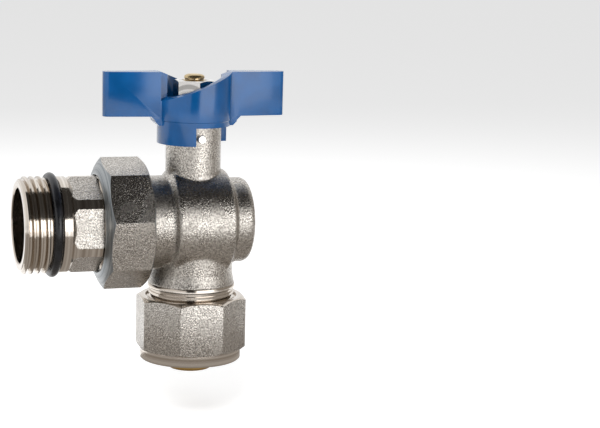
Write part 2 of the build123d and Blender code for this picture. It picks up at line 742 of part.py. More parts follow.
with BuildPart() as insert_seat_o_ring:
    with BuildSketch(stem_plane):
        with Locations((seat_groove_r + SEAT_O_RING_CORD / 2, z_seat_ring)):
            Circle(SEAT_O_RING_CORD / 2 - SEAL_GAP)
    revolve(axis=stem_axis)

with BuildPart() as insert_o_rings:
    for z in SPIGOT_O_RING_Z:
        with BuildSketch(stem_plane):
            with Locations((spigot_groove_r + SPIGOT_O_RING_CORD / 2, z)):
                Circle(SPIGOT_O_RING_CORD / 2 - SEAL_GAP)
        revolve(axis=stem_axis)

with BuildPart() as insulating_ring:
    with BuildSketch(level(z_head_end)):
        Circle(INSERT_HEAD_D / 2)
        Circle(INSULATOR_SEAT_D / 2 + SEAL_GAP, mode=Mode.SUBTRACT)
    extrude(amount=-INSULATOR_L)

# ================================================================ compression ring and nut
port_crest_r = PORT_THREAD_D / 2 + THREAD_GAP
port_groove_r = port_crest_r + PORT_THREAD_DEPTH
z_flats_end = NUT_TOP - NUT_FLATS_L
z_nut_end = z_flats_end - NUT_COLLAR_L
nut_corner_r = corner_d(NUT_AF, NUT_SIDES) / 2
female_turns = int((NUT_TOP - 1.0 - z_port_end) / PORT_PITCH)
z_female = NUT_TOP - 1.0
z_cone = z_female - female_turns * PORT_PITCH - 1.2
cone_slope = (ring_seat_r - pipe_bore_r) / NUT_CONE_L
z_ring_end = z_cone - (RING_D / 2 - ring_tip_r) / cone_slope

with BuildPart() as compression_ring:
    with BuildSketch(stem_plane):
        with BuildLine():
            Polyline(
                (pipe_bore_r, z_ring_top),
                (ring_tip_r, z_ring_top),
                (RING_D / 2, z_port_end),
                (RING_D / 2, z_cone),
                (ring_tip_r, z_ring_end),
                (pipe_bore_r, z_ring_end),
                close=True,
            )
        make_face()
    revolve(axis=stem_axis)
    with BuildSketch(level(z_ring_end)):
        with Locations((0, RING_D / 2)):
            Rectangle(RING_SPLIT, RING_D)
    extrude(amount=z_ring_top - z_ring_end, mode=Mode.SUBTRACT)

with BuildPart() as compression_nut:
    with BuildSketch(level(NUT_TOP)):
        RegularPolygon(nut_corner_r, NUT_SIDES, rotation=-90 + NUT_TURN)
    extrude(amount=-NUT_FLATS_L)
    with BuildSketch(stem_plane):
        with BuildLine():
            Polyline(
                (0, NUT_TOP),
                (nut_corner_r - NUT_CHAMFER * 1.73, NUT_TOP),
                (nut_corner_r, NUT_TOP - NUT_CHAMFER),
                (nut_corner_r, z_flats_end + NUT_CHAMFER / 2),
                (nut_corner_r - NUT_CHAMFER * 1.73 / 2, z_flats_end),
                (0, z_flats_end),
                close=True,
            )
        make_face()
    revolve(axis=stem_axis, mode=Mode.INTERSECT)
    with BuildSketch(level(z_flats_end)):
        Circle(NUT_COLLAR_D / 2)
    extrude(amount=-NUT_COLLAR_L)
    chamfer(compression_nut.edges().group_by(Axis.Z)[0], 0.4)
    with BuildSketch(stem_plane):
        with BuildLine():
            Polyline(
                (0, NUT_TOP + 1),
                (NUT_MOUTH_D / 2, NUT_TOP + 1),
                (NUT_MOUTH_D / 2, z_female),
                *swapped(ridges(z_female, female_turns, PORT_PITCH, port_crest_r, port_groove_r, -1)),
                (port_groove_r, z_cone + 0.2),
                (ring_seat_r, z_cone + 0.2),
                (ring_seat_r, z_cone),
                (pipe_bore_r, z_cone - NUT_CONE_L),
                (pipe_bore_r, z_nut_end - 1),
                (0, z_nut_end - 1),
                close=True,
            )
        make_face()
    revolve(axis=stem_axis, mode=Mode.SUBTRACT)

# ================================================================ one file for each piece
pieces = {
    "valve_body": valve_body,
    "ball": ball,
    "outlet_seat": outlet_seat,
    "rear_seat": rear_seat,
    "seat_retainer": seat_retainer,
    "stem": stem,
    "thrust_washer": thrust_washer,
    "stem_o_rings": stem_o_rings,
    "packing_ring": packing_ring,
    "gland_nut": gland_nut,
    "stop_pin": stop_pin,
    "handle": handle,
    "lock_washer": lock_washer,
    "handle_nut": handle_nut,
    "tailpiece": tailpiece,
    "tail_o_ring": tail_o_ring,
    "union_gasket": union_gasket,
    "union_nut": union_nut,
    "pipe_insert": pipe_insert,
    "insert_seat_o_ring": insert_seat_o_ring,
    "insert_o_rings": insert_o_rings,
    "insulating_ring": insulating_ring,
    "compression_ring": compression_ring,
    "compression_nut": compression_nut,
}
for name, piece in pieces.items():
    piece.part.label = name
    export_step(piece.part, f"parts/{name}.step")
    print(name, len(piece.part.solids()), round(piece.part.volume, 1))
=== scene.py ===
import math

import bpy
from mathutils import Matrix, Vector


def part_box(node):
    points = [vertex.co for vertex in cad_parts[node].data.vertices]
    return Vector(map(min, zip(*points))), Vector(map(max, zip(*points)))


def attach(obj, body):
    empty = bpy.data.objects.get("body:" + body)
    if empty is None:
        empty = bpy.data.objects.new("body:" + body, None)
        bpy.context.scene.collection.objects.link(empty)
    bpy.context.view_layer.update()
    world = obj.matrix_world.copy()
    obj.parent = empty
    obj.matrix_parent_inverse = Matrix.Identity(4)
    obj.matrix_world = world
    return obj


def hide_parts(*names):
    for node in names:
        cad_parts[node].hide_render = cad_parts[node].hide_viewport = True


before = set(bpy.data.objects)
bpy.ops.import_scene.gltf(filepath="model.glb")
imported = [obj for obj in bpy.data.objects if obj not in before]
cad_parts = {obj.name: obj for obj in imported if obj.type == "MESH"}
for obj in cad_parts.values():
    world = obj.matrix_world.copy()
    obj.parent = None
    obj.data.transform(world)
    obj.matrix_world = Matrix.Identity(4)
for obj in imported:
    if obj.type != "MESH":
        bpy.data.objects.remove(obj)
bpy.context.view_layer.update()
MM = 0.001
stem_x = (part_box("handle_nut")[0].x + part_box("handle_nut")[1].x) / 2 / MM


# ---------------------------------------------------------------- body
# The body is hot-forged brass, shot-blasted and then nickel plated, so its skin has the small
# hills of orange peel. Only its two threaded ends and the bores are turned.
def turned(name, stations, along="Z", sides=128, hollow=False, turn=0.0):
    """A ring carried from station to station, (place, radius) in mm, as a lathe leaves it."""
    bpy.ops.object.select_all(action="DESELECT")
    place, radius = stations[0]
    bpy.ops.mesh.primitive_circle_add(
        vertices=sides,
        radius=radius * MM,
        location=(0, 0, place * MM),
        fill_type="NOTHING" if hollow else "NGON",
    )
    piece = bpy.context.object
    piece.name = name
    bpy.ops.object.transform_apply(location=True)
    bpy.ops.object.mode_set(mode="EDIT")
    bpy.ops.mesh.select_all(action="SELECT")
    for next_place, next_radius in stations[1:]:
        bpy.ops.mesh.extrude_region_move(
            TRANSFORM_OT_translate={"value": (0, 0, (next_place - place) * MM)}
        )
        if next_radius != radius:
            ratio = next_radius / radius
            bpy.ops.transform.resize(
                value=(ratio, ratio, 1), center_override=(0, 0, next_place * MM)
            )
        place, radius = next_place, next_radius
    bpy.ops.mesh.select_all(action="SELECT")
    bpy.ops.mesh.remove_doubles(threshold=1e-7)
    bpy.ops.mesh.normals_make_consistent(inside=False)
    bpy.ops.object.mode_set(mode="OBJECT")
    piece.rotation_euler = (0, 0, math.radians(turn))
    bpy.ops.object.transform_apply(rotation=True)
    if along == "X":
        piece.rotation_euler = (0, math.pi / 2, 0)
    elif along == "-Y":
        piece.rotation_euler = (math.pi / 2, 0, 0)
        piece.location.x = stem_x * MM
    else:
        piece.location.x = stem_x * MM
    bpy.ops.object.transform_apply(location=True, rotation=True)
    return piece


def picked(piece):
    """Makes a piece the only one selected, and the active one."""
    bpy.ops.object.select_all(action="DESELECT")
    piece.select_set(True)
    bpy.context.view_layer.objects.active = piece


def applied(piece, kind, **settings):
    """Adds a modifier with its settings and applies it."""
    picked(piece)
    step = piece.modifiers.new(kind.lower(), kind)
    for key, value in settings.items():
        setattr(step, key, value)
    bpy.ops.object.modifier_apply(modifier=step.name)
    return piece


def fused(piece, other, how="UNION"):
    """Joins another solid to a piece, or cuts the piece with it, and throws the other away."""
    applied(piece, "BOOLEAN", operation=how, solver="EXACT", object=other)
    bpy.data.objects.remove(other, do_unlink=True)
    return piece


def smooth(piece, angle=32.0):
    """Round where faces meet gently, crisp where they meet at more than the angle."""
    picked(piece)
    bpy.ops.object.shade_smooth_by_angle(angle=math.radians(angle))
    return piece


def linear(hex_colour):
    """An sRGB hex colour as the linear RGBA that sockets take."""
    parts = [int(hex_colour[i : i + 2], 16) / 255 for i in (1, 3, 5)]
    return [c / 12.92 if c <= 0.04045 else ((c + 0.055) / 1.055) ** 2.4 for c in parts] + [1.0]


def node(tree, kind, sockets=None, **settings):
    """Adds a node; a socket's value is a number, a colour or another node's output."""
    made = tree.nodes.new(kind)
    for key, value in settings.items():
        setattr(made, key, value)
    for key, value in (sockets or {}).items():
        if isinstance(value, bpy.types.NodeSocket):
            tree.links.new(value, made.inputs[key])
        else:
            made.inputs[key].default_value = value
    return made


def new_material(name):
    """A material whose node tree is emptied, and that tree."""
    material = bpy.data.materials.new(name)
    material.use_nodes = True
    tree = material.node_tree
    tree.nodes.clear()
    return material, tree


def ramp(tree, factor, stops):
    """A colour ramp whose stops are (position, hex or grey level)."""
    made = node(tree, "ShaderNodeValToRGB", {"Fac": factor})
    points = made.color_ramp.elements
    while len(points) < len(stops):
        points.new(0.5)
    for point, (position, colour) in zip(points, stops):
        point.position = position
        point.color = linear(colour) if isinstance(colour, str) else [colour] * 3 + [1.0]
    return made.outputs["Color"]


# Nickel over blasted brass: a warm grey metal whose 0.5 mm hills each throw their own spark
# and shade, with 0.15 mm grit between them and broad, faint clouds where the plating dulls.
# The spark and shade are also painted into the colour: painted highlight on the hill tops,
# painted shade in the hollows between them.
def blasted_nickel(name, grain_mm, depth_mm, dark, light, roughness):
    material, tree = new_material(name)
    place = node(tree, "ShaderNodeTexCoord").outputs["Object"]
    hills = node(
        tree,
        "ShaderNodeTexNoise",
        {"Vector": place, "Scale": 1 / (grain_mm * MM), "Detail": 2.0, "Roughness": 0.55},
    ).outputs["Fac"]
    grit = node(
        tree,
        "ShaderNodeTexNoise",
        {"Vector": place, "Scale": 1 / (0.3 * grain_mm * MM), "Detail": 1.0},
    ).outputs["Fac"]
    clouds = node(
        tree,
        "ShaderNodeTexNoise",
        {"Vector": place, "Scale": 1 / (7 * MM), "Detail": 3.0},
    ).outputs["Fac"]
    height = node(
        tree, "ShaderNodeMath", {0: grit, 1: 0.3, 2: hills}, operation="MULTIPLY_ADD"
    ).outputs[0]
    bump = node(
        tree, "ShaderNodeBump", {"Strength": 1.0, "Distance": depth_mm * MM, "Height": height}
    ).outputs["Normal"]
    # Painted highlight and painted shade: the colour is lighter on the tops of the hills and darker
    # in their hollows.
    painted_sparkle_and_shade = ramp(tree, hills, [(0.36, dark), (0.62, light)])
    clouds_over_painted_sparkle = node(
        tree,
        "ShaderNodeMix",
        {"Factor": clouds, "A": painted_sparkle_and_shade, "B": ramp(tree, hills, [(0.3, dark), (0.75, light)])},
        data_type="RGBA",
    )
    dull = ramp(tree, clouds, [(0.35, roughness - 0.05), (0.65, roughness + 0.07)])
    shader = node(
        tree,
        "ShaderNodeBsdfPrincipled",
        {"Base Color": clouds_over_painted_sparkle.outputs["Result"], "Metallic": 1.0, "Roughness": dull, "Normal": bump},
    )
    node(tree, "ShaderNodeOutputMaterial", {"Surface": shader.outputs["BSDF"]})
    return material


forged_nickel = blasted_nickel("blasted nickel plate", 0.55, 0.16, "#8f8983", "#e3ded6", 0.26)


# Nickel over turned brass: polished, but the tool's rings, a tenth of a millimetre or more
# apart, still draw the reflections out round the axis. Walls take their rings from the place
# along the axis and faces take them from the radius, so one sum of the two serves both. The
# colour is painted lighter and darker in 1.6 mm bands along that sum: painted reflection bands.
def turned_nickel(name, along, ring_mm, dark, light, roughness, depth_mm=0.004):
    material, tree = new_material(name)
    place = node(tree, "ShaderNodeTexCoord").outputs["Object"]
    if along == "Z":
        place = node(
            tree, "ShaderNodeVectorMath", {0: place, 1: (stem_x * MM, 0, 0)}, operation="SUBTRACT"
        ).outputs[0]
    axes = node(tree, "ShaderNodeSeparateXYZ", {"Vector": place}).outputs
    here = axes["X"] if along == "X" else axes["Z"]
    other = axes["Z"] if along == "X" else axes["X"]
    flat = node(tree, "ShaderNodeCombineXYZ", {"X": other, "Y": axes["Y"], "Z": 0.0}).outputs[0]
    radius = node(tree, "ShaderNodeVectorMath", {0: flat}, operation="LENGTH").outputs["Value"]
    path = node(tree, "ShaderNodeMath", {0: here, 1: radius}, operation="ADD").outputs[0]
    rings = node(
        tree,
        "ShaderNodeTexNoise",
        {"W": path, "Scale": 1 / (ring_mm * MM), "Detail": 2.0, "Roughness": 0.6},
        noise_dimensions="1D",
    ).outputs["Fac"]
    bands = node(
        tree,
        "ShaderNodeTexNoise",
        {"W": path, "Scale": 1 / (1.6 * MM), "Detail": 1.0},
        noise_dimensions="1D",
    ).outputs["Fac"]
    bump = node(
        tree, "ShaderNodeBump", {"Strength": 1.0, "Distance": depth_mm * MM, "Height": rings}
    ).outputs["Normal"]
    # Painted reflection: the colour goes lighter and darker in 1.6 mm bands that run round the axis.
    painted_reflection_tint = ramp(tree, bands, [(0.35, dark), (0.65, light)])
    dull = ramp(tree, rings, [(0.3, roughness - 0.04), (0.7, roughness + 0.05)])
    shader = node(
        tree,
        "ShaderNodeBsdfPrincipled",
        {"Base Color": painted_reflection_tint, "Metallic": 1.0, "Roughness": dull, "Normal": bump},
    )
    node(tree, "ShaderNodeOutputMaterial", {"Surface": shader.outputs["BSDF"]})
    return material


turned_nickel_x = turned_nickel("turned nickel, outlet side", "X", 0.12, "#b9aea2", "#e6dfd6", 0.13)
turned_nickel_z = turned_nickel("turned nickel, pipe side", "Z", 0.12, "#b9aea2", "#e6dfd6", 0.13)


def dress(piece, *materials):
    """Puts these materials in a piece's slots, in order."""
    piece.data.materials.clear()
    for material in materials:
        piece.data.materials.append(material)


face_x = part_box("union_gasket")[1].x / MM
end_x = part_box("valve_body")[1].x / MM
thread_end_x = face_x + 7.5
front_x = stem_x - 8.4
back_x = stem_x + 10.9
neck_top = 34.0
shoulder_r, barrel_r, boss_r = 16.0, 17.9, 14.8
neck_r, port_r, lip_r = 9.55, 14.3, 15.2
lip_z = -21.9
union_bore_r, ball_bore_r, back_bore_r, waterway_r = 13.04, 12.4, 8.0, 7.75
ball_reach = 11.5

forging = turned(
    "body_forging",
    [
        (thread_end_x, shoulder_r),
        (front_x - 1.6, shoulder_r),
        (front_x, barrel_r),
        (back_x, barrel_r),
        (back_x + 1.6, boss_r),
        (end_x - 2.2, boss_r),
        (end_x - 1.0, 14.3),
        (end_x - 0.3, 13.4),
        (end_x, 12.0),
    ],
    along="X",
)
fused(forging, turned("neck", [(5, neck_r), (neck_top, neck_r)]))
fused(
    forging,
    turned("port", [(-5, port_r), (-17.5, port_r), (-20.2, 14.7), (lip_z, lip_r)]),
)
applied(forging, "REMESH", mode="VOXEL", voxel_size=0.38 * MM)
applied(forging, "SMOOTH", factor=0.5, iterations=9)
fused(
    forging,
    turned(
        "chamber bore",
        [
            (thread_end_x - 2, union_bore_r),
            (stem_x - ball_reach, union_bore_r),
            (stem_x - ball_reach, ball_bore_r),
            (stem_x + ball_reach, ball_bore_r),
            (stem_x + ball_reach, back_bore_r),
            (end_x - 4, back_bore_r),
        ],
        along="X",
    ),
    "DIFFERENCE",
)
fused(
    forging,
    turned(
        "stem bore",
        [(0, 6.05), (16.3, 6.05), (16.3, 4.55), (24.4, 4.55), (24.4, 6.04), (neck_top + 1, 6.04)],
    ),
    "DIFFERENCE",
)
fused(forging, turned("port bore", [(0, waterway_r), (-23, waterway_r)]), "DIFFERENCE")
smooth(forging, 40)
dress(forging, forged_nickel)
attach(forging, "valve")
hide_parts("valve_body")


FLANK_SHARE = 0.27  # of the pitch, for each sloping side of a ridge
FINE_PITCH = 1.5  # both big nuts


def thread_ridges(start, turns, pitch, crest, root, step=1):
    """Stations of a thread seen in section, (place, radius) in mm."""
    flank = FLANK_SHARE * pitch
    flat = (pitch - 2 * flank) / 2
    stations = []
    for turn in range(turns):
        foot = start + step * turn * pitch
        stations.append((foot + step * flat / 2, root))
        stations.append((foot + step * (flat / 2 + flank), crest))
        stations.append((foot + step * (flat * 1.5 + flank), crest))
        stations.append((foot + step * (flat * 1.5 + 2 * flank), root))
    return stations


union_root_r = 17.3
union_thread = turned(
    "body_union_thread",
    [
        (face_x, union_bore_r),
        (face_x, union_root_r),
        *thread_ridges(face_x, 5, FINE_PITCH, 18.05, union_root_r),
        (thread_end_x + 0.4, union_root_r),
        (thread_end_x + 0.4, union_bore_r),
        (face_x, union_bore_r),
    ],
    along="X",
    hollow=True,
)
smooth(union_thread)
dress(union_thread, turned_nickel_x)
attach(union_thread, "valve")
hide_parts("valve_body")

port_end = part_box("insulating_ring")[0].z / MM - 3.5
port_start = -21.6
pipe_crest_r, pipe_root_r = 14.95, 14.25
ring_seat_z, insert_seat_z = -30.6, -27.0
insert_bore_r = 9.05
port_turned = turned(
    "body_pipe_thread",
    [
        (port_start, waterway_r),
        (port_start, 15.05),
        (lip_z, lip_r),
        (-22.9, lip_r),
        (-23.2, 14.9),
        (-23.2, 14.4),
        (-24.3, 14.4),
        (-24.3, pipe_crest_r),
        (-25.1, pipe_crest_r),
        (-25.1, pipe_root_r),
        *thread_ridges(-25.9, 8, FINE_PITCH, pipe_crest_r, pipe_root_r, -1),
        (port_end, pipe_root_r),
        (port_end, 12.6),
        (port_end + 1.2, 10.95),
        (ring_seat_z, 10.85),
        (ring_seat_z, insert_bore_r),
        (insert_seat_z, insert_bore_r),
        (insert_seat_z, waterway_r),
        (port_start, waterway_r),
    ],
    hollow=True,
)
smooth(port_turned)
dress(port_turned, turned_nickel_z)
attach(port_turned, "valve")
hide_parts("valve_body")

# ---------------------------------------------------------------- stop pin
# A short nickel-plated steel pin pressed into the neck. Its turned end is the bright disc in
# the handle's window.
stop_pin = turned(
    "stop_pin_turned", [(6.8, 1.49), (11.75, 1.49), (11.98, 1.25)], along="-Y", sides=48
)
stop_pin.location.z = (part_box("stop_pin")[0].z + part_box("stop_pin")[1].z) / 2
picked(stop_pin)
bpy.ops.object.transform_apply(location=True)
smooth(stop_pin)
dress(stop_pin, turned_nickel("turned nickel, pin", "Y", 0.2, "#d9d4cc", "#f2efea", 0.2))
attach(stop_pin, "valve")
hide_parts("stop_pin")

# ---------------------------------------------------------------- ball, seats and seals
# The ball is forged brass, hard chromed and lapped. It turns between two white PTFE seats,
# which a screwed brass ring holds in from the union side.
def grained(name, patches, grain, depth_mm, colours, dulls, **sockets):
    """A surface with patches of colour and gloss and a fine relief, each (size in mm, detail)."""
    material, tree = new_material(name)
    place = node(tree, "ShaderNodeTexCoord").outputs["Object"]
    tone, relief = [
        node(
            tree, "ShaderNodeTexNoise", {"Vector": place, "Scale": 1 / (size * MM), "Detail": detail}
        ).outputs["Fac"]
        for size, detail in (patches, grain)
    ]
    bump = node(tree, "ShaderNodeBump", {"Distance": depth_mm * MM, "Height": relief})
    shader = node(
        tree,
        "ShaderNodeBsdfPrincipled",
        {
            "Base Color": ramp(tree, tone, colours),
            "Roughness": ramp(tree, tone, dulls),
            "Normal": bump.outputs["Normal"],
            **sockets,
        },
    )
    node(tree, "ShaderNodeOutputMaterial", {"Surface": shader.outputs["BSDF"]})
    return material


chrome = grained(
    "lapped hard chrome",
    patches=(0.4, 4.0),
    grain=(0.4, 4.0),
    depth_mm=0.001,
    colours=[(0.3, "#c9ccd0"), (0.7, "#dfe1e3")],
    dulls=[(0.35, 0.06), (0.65, 0.14)],
    Metallic=1.0,
)
dress(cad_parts["ball"], chrome)

ptfe = grained(
    "machined PTFE",
    patches=(0.8, 3.0),
    grain=(0.8, 3.0),
    depth_mm=0.01,
    colours=[(0.35, "#dcdcd8"), (0.65, "#ecece9")],
    dulls=[(0.35, 0.38), (0.65, 0.5)],
    IOR=1.35,
)
for name in ("outlet_seat", "rear_seat", "thrust_washer", "packing_ring", "insulating_ring"):
    dress(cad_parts[name], ptfe)

# Yellow brass, turned and left bare: bright straw gold with fine rings.
bare_brass_x = turned_nickel("turned brass, outlet side", "X", 0.15, "#b08a45", "#d9b871", 0.2)
bare_brass_z = turned_nickel("turned brass, stem side", "Z", 0.15, "#b08a45", "#dcbd78", 0.2)
dress(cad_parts["seat_retainer"], bare_brass_x)
dress(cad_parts["gland_nut"], bare_brass_z)
dress(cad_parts["compression_ring"], bare_brass_z)

# EPDM rings: moulded black rubber, half gloss, with talc dust that greys them in patches.
rubber = grained(
    "moulded EPDM",
    patches=(3, 4.0),
    grain=(0.25, 2.0),
    depth_mm=0.012,
    colours=[(0.4, "#0c0d10"), (0.7, "#1a1c22")],
    dulls=[(0.35, 0.24), (0.7, 0.36)],
    IOR=1.52,
)
for name in ("stem_o_rings", "insert_seat_o_ring", "insert_o_rings", "tail_o_ring"):
    dress(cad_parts[name], rubber)

# ---------------------------------------------------------------- stem
# Turned brass rod. Above the handle its M8 end is crowned and shows its bare gold.
flats_high = 40.7
stem = turned(
    "stem_turned",
    [
        (8.95, 3.8),
        (12.75, 3.8),
        (12.75, 6.0),
        (15.25, 6.0),
        (15.25, 4.5),
        (17.7, 4.5),
        (17.7, 3.05),
        (19.5, 3.05),
        (19.5, 4.5),
        (20.5, 4.5),
        (20.5, 3.05),
        (22.3, 3.05),
        (22.3, 4.5),
        (flats_high, 4.5),
        (flats_high, 3.3),
        (42.0, 3.3),
        *thread_ridges(42.0, 6, 1.25, 3.98, 3.32),
        (49.6, 3.32),
        (49.8, 3.6),
        (50.4, 3.45),
        (50.8, 3.0),
        (51.05, 2.2),
        (51.18, 1.1),
    ],
    sides=64,
)
smooth(stem, 38)
stem_brass = turned_nickel("turned brass, bright stem end", "Z", 0.25, "#cdb88f", "#f0dfc0", 0.3)
dress(stem, stem_brass)
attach(stem, "handle_and_ball")
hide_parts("stem")

# ---------------------------------------------------------------- handle
# A die-cast wing handle, stove-enamelled blue. Two tapering wings stand on a stepped hub whose
# rims slope up to them, the skirt below has a quarter cut away for the stop pin.
hub_r, step_r, bore_r, cup_r = 12.88, 12.65, 9.95, 9.5
wing_top, wing_low, hub_low, skirt_low, step_z = 52.0, 36.8, 33.6, 27.4, 35.4
tip_x, root_x, root_half = 31.95, 13.4, 3.8
low_rim_x, low_rim_z, rim_slope = 12.6, 42.2, 21.5
high_rim_x = low_rim_x - (wing_top - low_rim_z) / math.tan(math.radians(rim_slope))


def slab(name, outline, low, high, along="Z"):
    """An outline in mm, (x, y) seen from above or (x, z) seen from the front, given depth."""
    bpy.ops.object.select_all(action="DESELECT")
    bpy.ops.mesh.primitive_circle_add(vertices=len(outline), radius=MM, fill_type="NGON")
    piece = bpy.context.object
    piece.name = name
    for point, (a, b) in zip(piece.data.vertices, outline):
        if along == "Z":
            point.co = Vector(((a + stem_x) * MM, b * MM, low * MM))
        else:
            point.co = Vector(((a + stem_x) * MM, low * MM, b * MM))
    bpy.ops.object.mode_set(mode="EDIT")
    bpy.ops.mesh.select_all(action="SELECT")
    depth = (high - low) * MM
    bpy.ops.mesh.extrude_region_move(
        TRANSFORM_OT_translate={"value": (0, 0, depth) if along == "Z" else (0, depth, 0)}
    )
    bpy.ops.mesh.select_all(action="SELECT")
    bpy.ops.mesh.normals_make_consistent(inside=False)
    bpy.ops.object.mode_set(mode="OBJECT")
    return piece


handle = turned(
    "handle_casting",
    [(skirt_low, step_r), (step_z - 0.1, step_r), (step_z + 0.15, hub_r), (wing_top, hub_r)],
    sides=160,
)
wing = [(tip_x, 0.7), (tip_x - 0.5, 1.8), (tip_x - 1.7, 2.45), (root_x, root_half)]
fused(
    handle,
    slab(
        "wings",
        [(-x, -y) for x, y in wing]
        + [(x, -y) for x, y in reversed(wing)]
        + wing
        + [(-x, y) for x, y in reversed(wing)],
        wing_low,
        wing_top - 0.01,
    ),
)
lug = [(15.8, wing_low + 0.01), (14.4, wing_low - 1.4), (14.4, hub_low + 1.4), (13.0, hub_low)]
fused(
    handle,
    slab(
        "root lugs",
        [(-x, z) for x, z in lug] + [(x, z) for x, z in reversed(lug)],
        -root_half + 0.01,
        root_half - 0.01,
        along="Y",
    ),
)
for side in (1, -1):
    rim = [
        (-side * low_rim_x, low_rim_z),
        (-side * high_rim_x, wing_top),
        (-side * high_rim_x, wing_top + 1),
        (-side * low_rim_x, wing_top + 1),
    ]
    fused(handle, slab("above the rim", rim, 0, -side * 14, along="Y"), "DIFFERENCE")
fused(
    handle,
    turned(
        "bores",
        [
            (26, bore_r),
            (36.9, bore_r),
            (36.9, 4.55),
            (flats_high, 4.55),
            (flats_high, cup_r),
            (54, cup_r),
        ],
    ),
    "DIFFERENCE",
)
pin_r, pin_gap, window_reach = 1.5, 0.35, 16
half = math.degrees((pin_r + pin_gap) / bore_r)
window = [(0, 0)] + [
    (window_reach * math.cos(math.radians(a)), window_reach * math.sin(math.radians(a)))
    for a in (-90 - half, -67.5, -45, -22.5, half)
]
fused(handle, slab("window", window, 26, hub_low), "DIFFERENCE")
bpy.ops.object.mode_set(mode="EDIT")
bpy.ops.mesh.select_all(action="SELECT")
bpy.ops.mesh.remove_doubles(threshold=2e-6)
bpy.ops.mesh.dissolve_limited(angle_limit=math.radians(0.6))
bpy.ops.object.mode_set(mode="OBJECT")

# Gloss enamel: one deep blue, sprayed, with the faint long waves that paint keeps on a
# casting. The rounded edges, where it draws back and thins, have a paler one, which is also a
# painted highlight along every edge.
enamel = grained(
    "blue stove enamel",
    patches=(9, 3.0),
    grain=(2.6, 2.0),
    depth_mm=0.012,
    colours=[(0.35, "#034d86"), (0.65, "#075998")],
    dulls=[(0.35, 0.16), (0.7, 0.22)],
    **{"IOR": 1.52, "Coat Weight": 0.15, "Coat Roughness": 0.06},
)
# Painted highlight on the rounded edges: a paler blue, partly from the thinner enamel there.
thin_enamel_painted_highlight, tree = new_material("blue stove enamel, thin over the edges, painted highlight")
place = node(tree, "ShaderNodeTexCoord").outputs["Object"]
tone = node(
    tree, "ShaderNodeTexNoise", {"Vector": place, "Scale": 1 / (3 * MM), "Detail": 3.0}
).outputs["Fac"]
shader = node(
    tree,
    "ShaderNodeBsdfPrincipled",
    {"Base Color": ramp(tree, tone, [(0.4, "#2f7cbd"), (0.6, "#5a9dd2")]), "Roughness": 0.25},
)
node(tree, "ShaderNodeOutputMaterial", {"Surface": shader.outputs["BSDF"]})
dress(handle, enamel, thin_enamel_painted_highlight)
applied(
    handle,
    "BEVEL",
    width=0.32 * MM,
    segments=3,
    limit_method="ANGLE",
    angle_limit=math.radians(24),
    material=1,
)
smooth(handle, 24)
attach(handle, "handle_and_ball")
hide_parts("handle")

# ---------------------------------------------------------------- handle nut and washer
# A plain M8 nut of zinc-plated steel, 13 mm across its flats and chamfered at both faces, on
# a split spring washer.
def bevelled(piece, width_mm, angle):
    """Rounds the edges that turn by more than the angle."""
    applied(
        piece,
        "BEVEL",
        width=width_mm * MM,
        segments=2,
        limit_method="ANGLE",
        angle_limit=math.radians(angle),
    )


nut_low, nut_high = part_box("handle_nut")[0].z / MM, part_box("handle_nut")[1].z / MM
corner = 7.49
handle_nut = turned("handle_nut_hex", [(nut_low, corner), (nut_high, corner)], sides=6)
fused(
    handle_nut,
    turned(
        "chamfers",
        [(nut_low, 6.45), (nut_low + 0.6, 7.6), (nut_high - 0.6, 7.6), (nut_high, 6.45)],
        sides=96,
    ),
    "INTERSECT",
)
fused(
    handle_nut,
    turned("hole", [(nut_low - 1, 3.98), (nut_high - 0.5, 3.98), (nut_high + 0.1, 4.6)], sides=64),
    "DIFFERENCE",
)
bevelled(handle_nut, 0.1, 25)
smooth(handle_nut)
dress(handle_nut, turned_nickel("bright plated steel", "Z", 0.1, "#a9a6a3", "#dedbd8", 0.12))
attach(handle_nut, "handle_and_ball")
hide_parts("handle_nut")
dress(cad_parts["lock_washer"], handle_nut.data.materials[0])

# ---------------------------------------------------------------- tail
# Turned from hexagon bar: a G1 thread, a groove for the O-ring, a collar, the hexagon with its
# corners turned down, and the flange the union nut pulls on. All nickel plated.
thread_r, root_r, pitch = 16.62, 15.14, 2.309
thread_end = 0.1 + 4 * pitch
flank = FLANK_SHARE * pitch
crest = (pitch - 2 * flank) / 2
tail_bore_r = 12.75
bpy.ops.object.select_all(action="DESELECT")
bpy.ops.mesh.primitive_circle_add(vertices=5, radius=MM, fill_type="NOTHING")
thread = bpy.context.object
thread.name = "tail_thread"
outline = [
    (root_r, 0.0),
    (root_r, crest),
    (thread_r, crest + flank),
    (thread_r, 2 * crest + flank),
    (root_r, pitch),
]
for point, (radius, height) in zip(thread.data.vertices, outline):
    point.co = Vector((radius * MM, 0, (height - 2 * pitch) * MM))
bpy.ops.object.mode_set(mode="EDIT")
bpy.ops.mesh.select_all(action="DESELECT")
bpy.ops.object.mode_set(mode="OBJECT")
for edge in thread.data.edges:
    edge.select = {0, 4} == set(edge.vertices)
bpy.ops.object.mode_set(mode="EDIT")
bpy.ops.mesh.select_mode(type="EDGE")
bpy.ops.mesh.delete(type="EDGE")
bpy.ops.object.mode_set(mode="OBJECT")
applied(
    thread,
    "SCREW",
    axis="Z",
    screw_offset=pitch * MM,
    iterations=8,
    steps=96,
    render_steps=96,
    use_merge_vertices=True,
    merge_threshold=1e-6,
)
bpy.ops.object.mode_set(mode="EDIT")
for height, away in ((0.05, True), (thread_end + 0.3, False)):
    bpy.ops.mesh.select_all(action="SELECT")
    bpy.ops.mesh.bisect(
        plane_co=(0, 0, height * MM),
        plane_no=(0, 0, 1),
        use_fill=True,
        clear_inner=away,
        clear_outer=not away,
        threshold=1e-7,
    )
bpy.ops.mesh.select_all(action="SELECT")
bpy.ops.mesh.remove_doubles(threshold=1e-7)
bpy.ops.mesh.normals_make_consistent(inside=False)
bpy.ops.object.mode_set(mode="OBJECT")
